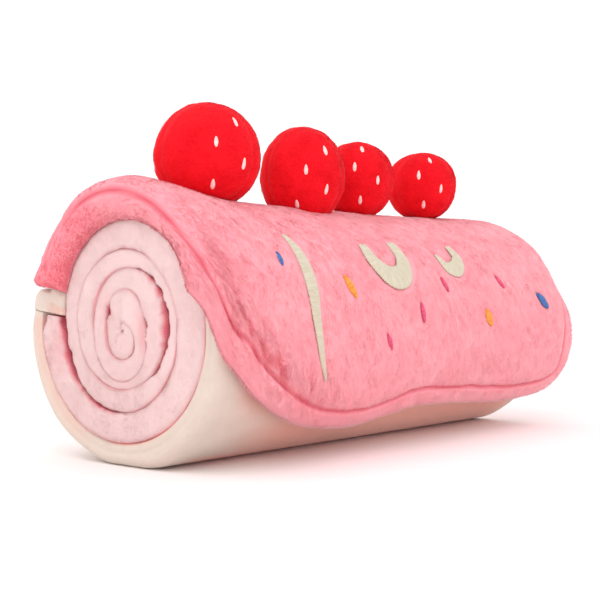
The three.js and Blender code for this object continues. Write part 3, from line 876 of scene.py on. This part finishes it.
# %% The frosting's form
FLAP_BACK = -74.0
FLAP_THICK = 5.2
FLAP_GAP = 0.9
FLAP_MIDDLE = 50.5
HEM = 9.4
HEM_THICK = 4.2
HEM_STITCH = 1.5
LIP_NEAR = 11.0
LIP_FAR = 18.0
BACK_CORNER = 3.0
LIP_LIFT = 6.5
LIP_OVER = 0.6
LIP_REST = 0.6
CLOSES_NEAR = ROLL_NEAR + COVER_TUCK - 0.8
CLOSES_FAR = ROLL_FAR - COVER_TUCK + 0.8
near_curl = through([-74, -40, 0, 30, 54, 68, 80, 94], [105, 110, 112, 105, 86, 54, 18, 0.5])
near_bend = through([-74, -40, 0, 30, 62, 80, 94], [8, 10.5, 14, 13.5, 12.5, 11, 11])
far_curl = through([-74, -40, 0, 60, 85, 100], [30, 48, 62, 58, 14, 0.5])
crest = through([-133, -118, -90, -60, 0, 60, 110, 125], [5.6, 5.2, 0.6, -2.2, -1.8, 0.2, 1, 0])


def ridge(angle):
    """1 along the very top of the roll, fading down both sides."""
    return np.maximum(0, np.cos(rad(angle))) ** 4


def flap_inside(s, angle):
    """How far the flap's inner face is from the axis, before its margins are curled."""
    return cover_radius(angle) + FLAP_GAP + np.maximum(0, crest(s)) * ridge(angle)


def flap_thickness(s, angle, from_edge, hem=HEM, stitch=HEM_STITCH):
    """Full in the middle, thinner in the hem, rounded at the edge and pulled in at the seam."""
    full = FLAP_THICK + np.minimum(0, crest(s)) * ridge(angle)
    body = HEM_THICK + (full - HEM_THICK) * smooth(from_edge, hem, hem + 5)
    edge = np.sqrt(1 - (1 - np.clip(from_edge / 2.8, 0, 1)) ** 2)
    return body * edge - stitch * bell(from_edge - hem, 0.9)


def mat_radius(angle):
    """How far the mat's outside is from the roll's axis there."""
    return np.linalg.norm(coil_point(270 - angle)[..., 1:] - [0, AXIS_HEIGHT], axis=-1)


def back_corner(angle):
    """How far the near edge is set back at the back corner."""
    return BACK_CORNER * fade(angle, FLAP_BACK, -8)


def near_lip(angle):
    """The near margin: its bend's length and angle, its reach, and how far its edge is drawn in."""
    curl, length = rad(np.maximum(0.5, near_curl(angle))), near_bend(angle)
    bend = length / curl
    start = FLAP_NEAR + LIP_NEAR
    folded = fade(angle, 28, 80)
    height = flap_inside(start, angle) + FLAP_THICK / 2 - bend * (1 - np.cos(curl))
    down = np.maximum(0, height - mat_radius(angle) + LIP_OVER)
    straight = down / np.maximum(np.sin(curl), 0.5) * folded
    edge = start - bend * np.sin(curl) - straight * np.cos(curl) + back_corner(angle)
    face = ROLL_NEAR - mat_wander(270 - angle)
    return length, curl, length + straight, np.maximum(0, face - LIP_REST - edge) * folded


def flap_point(s, angle, from_edge, across, thick):
    """A point of the flap. past is how far it is past the line where a margin begins to bend."""
    middle = flap_inside(s, angle) + FLAP_THICK / 2
    offset = (across - 0.5) * thick
    near, far = FLAP_NEAR + LIP_NEAR, FLAP_FAR - LIP_FAR
    is_near = s < near
    length, curl, reach, drawn = near_lip(angle)
    past = np.where(is_near, (near - s) * reach / LIP_NEAR, np.maximum(0, s - far))
    length = np.where(is_near, length, LIP_FAR)
    curl = np.where(is_near, curl, rad(np.maximum(0.5, far_curl(angle))))
    bend = length / curl
    turn = np.minimum(past / bend, curl)
    straight = np.maximum(0, past - length)
    sign = np.where(is_near, -1.0, 1.0)
    x = np.clip(s, near, far) + sign * ((bend + offset) * np.sin(turn) + straight * np.cos(turn))
    x += back_corner(angle) * fade(s, FLAP_NEAR, -80)
    x += is_near * drawn * smooth(past, reach * 0.35, reach)
    radius = middle - bend * (1 - np.cos(turn)) - straight * np.sin(turn) + np.cos(turn) * offset
    if across < 0.5:
        ends = np.maximum(smooth(x, CLOSES_FAR, ROLL_FAR), fade(x, ROLL_NEAR, CLOSES_NEAR))
        shown = smooth(angle, FLAP_BACK, FLAP_BACK + 8) * fade(angle, 60, 72)
        shown = shown * smooth(x, ROLL_NEAR - 4.5, ROLL_NEAR - 1)
        radius -= np.maximum(0, radius - mat_radius(angle) - 1) * ends * shown * smooth(from_edge, 0, 6)
    at_back = fade(angle, FLAP_BACK, FLAP_BACK + 30)
    lip_lift = (LIP_LIFT - BACK_RISE) * at_back * is_near * smooth(past, 0, reach)
    return around(x, angle + back_rise(x) * at_back + lip_lift, radius)


# %% [markdown]
# Three cream marks and eight sprinkles are embroidered on the frosting. They are given on the
# unrolled flap, by a place along the roll and an angle round it. The stitches press the pile down,
# so the frosting needs to know how far each of its points is from the nearest one.

# %% The embroidery's plan
ARC = math.radians(53)  # mm round the frosting for each degree
PIPING = [
    ([(-80, 46), (-77.5, 56), (-77.5, 70), (-78, 84), (-75, 98), (-70, 109)], [2, 6, 6.6, 4.6, 3, 1]),
    ([(-34, 49), (-33, 58), (-26, 65.5), (-17, 65), (-12.5, 57), (-13, 47)], [5, 8, 10, 10, 8, 6]),
    ([(15, 53), (19, 60), (26, 60.5), (31, 55), (30, 47)], [2, 6, 8, 7, 4]),
]
SPRINKLES = [  # colour, place along, angle, length, width and lean
    ("blue", -90, 59, 6, 3, 90),
    ("orange", -54.5, 70.5, 10, 4.4, 65),
    ("pink", -33.5, 94, 8, 2.6, 58),
    ("pink", -9.5, 82, 8.5, 2.8, 84),
    ("pink", 11.5, 69, 7.5, 2.6, 68),
    ("orange", 42, 85, 8.5, 5.5, 60),
    ("pink", 58, 67, 8, 2.8, 52),
    ("blue", 94, 77, 11, 5, 40),
]


def stroke(line, widths, steps):
    """A line on the unrolled flap, in mm, with its half widths, at so many even steps."""
    line, widths = np.array(line, float), np.array(widths, float)
    knots = np.linspace(0, 1, len(line))
    t = np.linspace(0, 1, steps)
    at = np.stack([through(knots, line[:, 0])(t), through(knots, line[:, 1] * ARC)(t)], axis=-1)
    return at, through(np.linspace(0, 1, len(widths)), widths)(t) / 2


def sprinkle_line(s, angle, long, lean):
    """The line down the middle of a sprinkle, from one end to the other."""
    ds = math.cos(math.radians(lean)) * long / 2
    da = math.sin(math.radians(lean)) * long / 2 / ARC
    return [(s - ds, angle - da), (s, angle), (s + ds, angle + da)]


MARKS = [("cream", *stroke(line, widths, 60)) for line, widths in PIPING]
MARKS += [
    (colour, *stroke(sprinkle_line(s, a, long, lean), [wide * 0.3, wide, wide * 0.3], 12))
    for colour, s, a, long, wide, lean in SPRINKLES]
print("marks to embroider:", len(MARKS))


def to_embroidery(s, angle):
    """How far each point of the flap is from the edge of the nearest stitches, in mm."""
    here = np.stack([s, angle * ARC], axis=-1)
    nearest = np.full(s.shape, 50.0)
    for _, at, half in MARKS:
        for place, wide in zip(at, half):
            nearest = np.minimum(nearest, np.hypot(*np.moveaxis(here - place, -1, 0)) - wide)
    return nearest


# %% [markdown]
# The flap is one closed mesh of two fine grids, an inner and an outer one, that meet at the
# border. A cloth simulation could drape it, but then the wave of the edge would come out by chance.
# Here every row and column is laid where the edge and the hem need it.

# %% The flap's grid
EDGE_STEPS = [0, 0.12, 0.45, 1.0, 1.8, 2.8]
COLUMN_STEP = 1.12
ROWS_INSIDE = 140


def flap_grid():
    """For every point its place, its angle, how far it is from the edge and how hard it is sewn."""
    steps = np.array(EDGE_STEPS)
    inner = np.arange(FLAP_NEAR + 3.9, FLAP_FAR - 3.9, COLUMN_STEP)
    s = np.concatenate([FLAP_NEAR + steps, inner, FLAP_FAR - steps[::-1]])
    front = front_edge(s)
    lean = np.hypot(1, (front_edge(s + 0.5) - front_edge(s - 0.5)) * rad(FLAP_MIDDLE))
    degrees = 1 / rad(FLAP_MIDDLE)
    hanging = np.concatenate([steps, np.arange(3.8, 15.5, 1.0)])[::-1]
    back = FLAP_BACK + steps * degrees
    bottom = front[:, None] - hanging[None, :] * lean[:, None] * degrees
    t = np.linspace(0, 1, ROWS_INSIDE + 2)[1:-1]
    between = back[-1] + (bottom[:, :1] - back[-1]) * t[None, :]
    angle = np.concatenate([np.tile(back, (len(s), 1)), between, bottom], axis=1)
    s = np.repeat(s[:, None], angle.shape[1], axis=1)
    from_back = (angle - FLAP_BACK) / degrees + np.where(angle < 0, 0, HEM)
    from_front = (front[:, None] - angle) / degrees / lean[:, None]
    near = (s - FLAP_NEAR) * near_lip(angle)[2] / LIP_NEAR
    sewn = np.minimum.reduce([near, FLAP_FAR - s, from_front])
    edge = np.minimum(sewn, from_back)
    return s, angle, np.maximum(edge, 0), 1 - 0.85 * smooth(sewn - from_back, -2, 3)


s, angle, edge, sewn = flap_grid()
flat = np.stack([s, angle * ARC, 0 * s], axis=-1)
hem = HEM + 0.5 * random_hills(flat, 9.0, 11)
from_hem = edge - hem
stitch = HEM_STITCH * sewn * (1 + 0.35 * random_hills(flat, 4.0, 12))
thick = flap_thickness(s, angle, edge, hem, stitch)
border = edge < 0.01
inner, outer = (flap_point(s, angle, edge, face, np.where(border, 0, thick)) for face in (0.0, 1.0))
inner[border] = outer[border] = flap_point(s, angle, edge, 0.5, thick)[border]
print("each face of the flap has", s.shape[0], "by", s.shape[1], "points")

# %% [markdown]
# On the outer face the pile is modelled: wide soft waves in the stuffing, brushed clumps that are
# longer down the flap than along it, and shaggy tufts beside the hem at the near corner, where the
# seam holds the pile down. Stitches press it flat.

# %% The frosting's relief
normal = normals_of(outer)
away = outer - inner
normal *= np.sign(np.einsum("ijk,ijk->ij", normal, away))[..., None]
gap = to_embroidery(s, angle)
shaggy = bell(edge - 13, 7) * smooth(angle, 30, 70) * fade(s, -110, -45)
pressed = fade(gap, -0.4, 2.4)
sweep = flat - np.stack([0.5 * (angle * ARC), 0 * s, 0 * s], axis=-1)
waves = 0.7 * random_hills(flat, 30.0, 13) + 0.45 * random_hills(flat, 13.0, 14)
clumps = random_hills(sweep / [1.9, 7.0, 1], 1.0, 15) * 0.28
clumps += random_hills(sweep / [1.1, 3.4, 1], 1.0, 16) * 0.14
tufts = random_hills(sweep / [1.7, 6.0, 1], 1.0, 17)
height = 0.35 + 0.6 * waves + clumps + shaggy * (0.3 + 1.35 * tufts) - pressed
height *= smooth(edge, 0, 2.2) * (1 - 0.6 * sewn * bell(from_hem, 1.3))
outer += normal * height[..., None]
print("the relief goes from", height.min().round(1), "to", height.max().round(1), "mm")

# %% [markdown]
# The pink is darkened with painted shade where the pile is pulled apart and little light reaches: in the
# seam's groove, in dashes as the stitches come and go, between the tufts, and on the near lip at the back,
# which is in its own shade.

# %% The frosting's painted shade
lip_painted_shade = fade(edge, 5, 15) * fade(angle, -40, 15) * fade(s, -122, -116)
skin_painted_shade = np.clip(0.9 * sewn * bell(from_hem, 1.0) - 0.5 * shaggy * tufts, 0, 1)
skin_painted_shade = np.maximum(skin_painted_shade, 0.3 * lip_painted_shade)
dashes = 0.55 + 0.45 * random_hills(flat, 5.0, 18)
# The hairs take the same painted shade, and besides that a slightly deeper tone over the top and back of the
# near part of the roll.
hair_tint = np.maximum.reduce([
    0.12 * fade(angle, 45, 80) * fade(s, 10, 70), 0.75 * lip_painted_shade, 0.7 * shaggy * smooth(-tufts, 0, 0.5),
    dashes * sewn * bell(from_hem, 1.8)])
print("the hairs' tint is", hair_tint.mean().round(2), "on average")

# %% [markdown]
# The frosting has the longest hairs. They are brushed down the flap and toward the far end, and
# are short at the seam and round the stitches. The rim's inner side gets some too, because it shows
# where the lips curl.

# %% The frosting's hairs
brushed = unit(np.gradient(outer, axis=1)) + 0.8 * unit(np.gradient(outer, axis=0))
long = (1.9 + 0.9 * shaggy - 0.5 * pressed) * (1 - 0.7 * sewn * bell(from_hem, 1.8))
lift = 0.22 + 0.28 * shaggy + 0.25 * bell(edge, 2.5) + 0.15 * bell(gap, 1.3)
thinned = smooth(gap, -0.3, 0.5) * (1 - 0.95 * sewn * bell(from_hem, 0.9))
hairs(
    "frosting_pile", 190000, outer, normal, brushed, flat, long, 0.34, lift, thinned,
    plush_hair, 50, deep=hair_tint)
under = normals_of(inner)
under *= -np.sign(np.einsum("ijk,ijk->ij", under, away))[..., None]
hairs(
    "frosting_rim_pile", 32000, inner, under, np.gradient(inner, axis=1), flat, 1.4, 0.3, 0.5,
    fade(edge, 2.5, 4.5) * (angle > FLAP_BACK + 1), plush_hair, 51, deep=0.9 * lip_painted_shade)

# %% [markdown]
# The two faces become one piece. Its inner grain is moved away from the outer one, so that the two
# sides aren't patched alike.

# %% The plush frosting
outer_faces = grid_faces(*s.shape)
inner_faces = grid_faces(*s.shape, start=s.size)[:, ::-1]
piece(
    "plush_frosting", np.concatenate([outer, inner]), [outer_faces, inner_faces], [plush],
    "frosting_flap",
    {"grain": np.concatenate([flat, flat + [0, 0, 40]]),
     "deep": np.concatenate([skin_painted_shade, 0 * skin_painted_shade])})

# %% [markdown]
# A satin stitch runs from one side of a mark to the other and back, so a mark is a low cushion of
# threads that lie across it. It could be painted on the frosting, but the real one stands up from
# the pile and has an edge. The sections are closer together than the threads, so that each thread
# is a ridge.

# %% Embroidered marks
THREAD = 0.45
THREAD_RIDGE = 0.07
MARK_HEIGHT = 0.65


def frosting_top(s, angle):
    """How far the frosting's outer face is from the axis, away from its edges."""
    return flap_inside(s, angle) + (FLAP_THICK + flap_thickness(s, angle, 20.0)) / 2


def embroidered(at, half, height):
    """Points and faces of one mark, a ring of points for each section."""
    way = np.gradient(at, axis=0)
    way /= np.linalg.norm(way, axis=1, keepdims=True)
    run = np.concatenate([[0], np.cumsum(np.linalg.norm(np.diff(at, axis=0), axis=1))])
    steps = int(run[-1] / THREAD * 4)
    even = np.linspace(0, run[-1], steps)
    place = np.stack([np.interp(even, run, at[:, k]) for k in (0, 1)], axis=-1)
    along_way = np.stack([np.interp(even, run, way[:, k]) for k in (0, 1)], axis=-1)
    wide = np.interp(even, run, half)
    edge = 1 + 0.06 * np.sin(math.pi * even / THREAD)
    from_end = np.minimum(even, even[-1] - even)
    rise = height * np.sqrt(np.clip(from_end / 1.2, 0.03, 1))
    rise += THREAD_RIDGE * np.cos(2 * math.pi * even / THREAD)
    ring = rad(np.arange(0, 360, 20))
    sideways = (np.maximum(0.15, wide) * edge)[:, None] * np.cos(ring)
    s = place[:, :1] - along_way[:, 1:] * sideways
    arc = place[:, 1:] + along_way[:, :1] * sideways
    up = rise[:, None] * np.sin(ring) - 0.15
    points = around(s, arc / ARC, frosting_top(s, arc / ARC) + up)
    grains = np.stack([even[:, None] + 0 * up, sideways, up], axis=-1)
    return points.reshape(-1, 3), tube_faces(*up.shape), grains.reshape(-1, 3)


def join(parts):
    """Several meshes of points, faces and grain as one."""
    points, faces, grains, counts, start = [], [], [], [], 0
    for p, blocks, g in parts:
        points.append(p)
        grains.append(g)
        faces += [block + start for block in blocks]
        counts.append(sum(len(block) for block in blocks))
        start += len(p)
    return np.concatenate(points), faces, np.concatenate(grains), counts


def embroidery_piece(name, colours, materials):
    """All marks of these colours as one piece, each in its own thread."""
    chosen = [(c, embroidered(at, half, MARK_HEIGHT)) for c, at, half in MARKS if c in colours]
    points, faces, grains, counts = join([part for _, part in chosen])
    wears = np.repeat([colours.index(c) for c, _ in chosen], counts)
    return piece(name, points, faces, materials, values={"grain": grains}, wears=wears)


embroidery_piece("piping", ["cream"], [cream_thread])
embroidery_piece("sprinkles", list(SPRINKLE_THREADS), list(SPRINKLE_THREADS.values()))

# %% [markdown]
# A strawberry is a stuffed ball of three gores. It is never quite round, its seams lie in slight
# grooves, and it is pressed flat where it is sewn to the frosting. A ball from the menu would have
# to be bent in all those ways afterwards, so its points are worked out from their directions. Its
# seeds are four on each gore, in a zigzag, and only those above the frosting are sewn.

# %% Strawberries
GORES = 3
SEAM_AT = -15.0
BERRIES = [  # x, y, z, radius, tallness, and seeds by degrees round from the front and degrees up
    ((-86, -5, 116.6), 20.2, 1.0, [(6, 33), (35, 7), (2, -14), (37, -39)]),
    ((-36, -11, 112.6), 18.0, 1.07, [(16, 27), (46, 1), (16, -22), (60, -42)]),
    ((8.6, -5, 114.4), 16.7, 1.0, [(42, 46), (56, 15), (19, -4), (47, -36)]),
    ((59.3, -5, 115.4), 16.4, 1.0, [(36, 42), (59, 14), (20, -7), (50, -36)]),
]
BERRY_ROUND = 144
BERRY_UP = 92
SEED_LONG = 4.6


def berry_shape(direction, i):
    """The ball's own unevenness in this direction, close to 1."""
    x, y, z = np.moveaxis(direction, -1, 0)
    return (1 + 0.014 * np.sin(3.1 * x + 2 * i) + 0.014 * np.sin(3.7 * y + 1.3 * i)
            - 0.02 * np.sin(2.9 * z + i))


def toward(turn, up):
    """The direction so many degrees round from the front and up."""
    t, u = rad(turn), rad(up)
    return np.stack(np.broadcast_arrays(-np.sin(t) * np.cos(u), -np.cos(t) * np.cos(u), np.sin(u)), -1)


def rest_height(points):
    """How high the frosting's top is under these points."""
    angle = np.degrees(np.arctan2(-points[..., 1], points[..., 2] - AXIS_HEIGHT))
    top = frosting_top(points[..., 0], angle) + 0.5
    return AXIS_HEIGHT + np.sqrt(np.maximum(0, top ** 2 - points[..., 1] ** 2))


def on_berry(direction, i):
    """The place on the ball in this direction from its middle."""
    centre, radius, tall, _ = BERRIES[i]
    size = np.array([radius, radius, radius * tall])
    return direction * size * berry_shape(direction, i)[..., None] + np.array(centre)


def seed_spots(i):
    """The direction and the middle of each seed that lies above the frosting."""
    spots = []
    for gore, (turn, up) in itertools.product(range(GORES), BERRIES[i][3]):
        direction = toward(turn + gore * 360 / GORES, up)
        middle = on_berry(direction, i)
        if middle[2] > rest_height(middle) + SEED_LONG / 2:
            spots.append((direction, middle))
    return spots


def strawberry(i):
    """One ball with its hairs, which leave the seeds free."""
    turn = np.arange(BERRY_ROUND) * 360 / BERRY_ROUND
    up = np.linspace(-89.5, 89.5, BERRY_UP)
    direction = toward(turn[None, :], up[:, None])
    points = on_berry(direction, i)
    off = (turn[None, :] - SEAM_AT + 180 / GORES) % (360 / GORES) - 180 / GORES
    from_seam = np.abs(rad(off)) * np.cos(rad(up[:, None])) * BERRIES[i][1]
    lumpy = 0.22 * random_hills(points, 5.0, 20 + i)
    lumpy += 0.12 * random_hills(points / [2.2, 1, 1], 1.3, 30 + i)
    grooved = 0.25 * smooth(from_seam, 1, 5) - 0.45 * bell(from_seam, 1.0)
    points += direction * (lumpy + grooved)[..., None]
    points[..., 2] = np.maximum(points[..., 2], rest_height(points) - 0.35)
    skin = np.concatenate([points, points[:, :1]], axis=1)
    outward = np.concatenate([direction, direction[:, :1]], axis=1)
    bare = np.min([np.linalg.norm(skin - middle, axis=-1) for _, middle in seed_spots(i)], axis=0)
    hairs(
        f"strawberry_pile_{i + 1}", 26000, skin, outward, np.gradient(skin, axis=1), skin, 1.1, 0.26, 0.3,
        smooth(bare, 0.9, 1.9), berry_hair, 60 + i, swirl=0.35)
    piece(
        f"strawberry_ball_{i + 1}", points, tube_faces(BERRY_UP, BERRY_ROUND), [berry_plush],
        f"strawberry_{i + 1}", {"grain": points})


for i in range(len(BERRIES)):
    strawberry(i)

# %% [markdown]
# Each seed is a short satin stitch, a small drop that lies on the ball and is ridged like the other
# threads.

# %% Seeds
SEED_WIDE = 1.7
SEED_HIGH = 0.5


def seed(direction, middle, i):
    """Points, faces and grain of one seed, which points up the ball."""
    side = unit(np.cross([0, 0, 1], direction))
    long = np.cross(direction, side)
    u = rad(np.linspace(-89, 89, 31))[:, None]
    ring = rad(np.arange(0, 360, 30))
    v, body = np.sin(u), np.cos(u)
    ridges = 1 + 0.10 * np.cos(math.pi * v * SEED_LONG / THREAD)
    a = body * np.cos(ring) * SEED_WIDE / 2 * (1 - 0.25 * v)
    b = v * SEED_LONG / 2 + 0 * ring
    c = body * ridges * np.sin(ring) * SEED_HIGH
    sag = (a ** 2 + b ** 2) / 2 / BERRIES[i][1]
    points = middle + a[..., None] * side + b[..., None] * long + (c - sag + 0.1)[..., None] * direction
    return points.reshape(-1, 3), tube_faces(*a.shape), np.stack([b, a, c], -1).reshape(-1, 3)


for i in range(len(BERRIES)):
    points, faces, grains, _ = join([seed(direction, middle, i) for direction, middle in seed_spots(i)])
    piece(f"seeds_{i + 1}", points, faces, [seed_thread], values={"grain": grains})

# %% [markdown]
# The floor is a plain pale sheet that isn't part of the toy.

# %% Floor
FLOOR_REACH = 6.0
FLOOR_COLOUR = (0.97, 0.91, 0.905, 1)
floor_mesh = bpy.data.meshes.new("floor")
corners = [(x * FLOOR_REACH, y * FLOOR_REACH, 0) for x, y in ((-1, -1), (1, -1), (1, 1), (-1, 1))]
floor_mesh.from_pydata(corners, [], [(0, 1, 2, 3)])
floor = bpy.data.objects.new("floor", floor_mesh)
bpy.context.scene.collection.objects.link(floor)
floor_material, _, floor_shader = new_material("pale floor")
floor_shader.inputs["Base Color"].default_value = FLOOR_COLOUR
floor_shader.inputs["Roughness"].default_value = 1.0
floor_shader.inputs["Specular IOR Level"].default_value = 0.0
floor_mesh.materials.append(floor_material)
print("the floor is", 2 * FLOOR_REACH, "m wide")
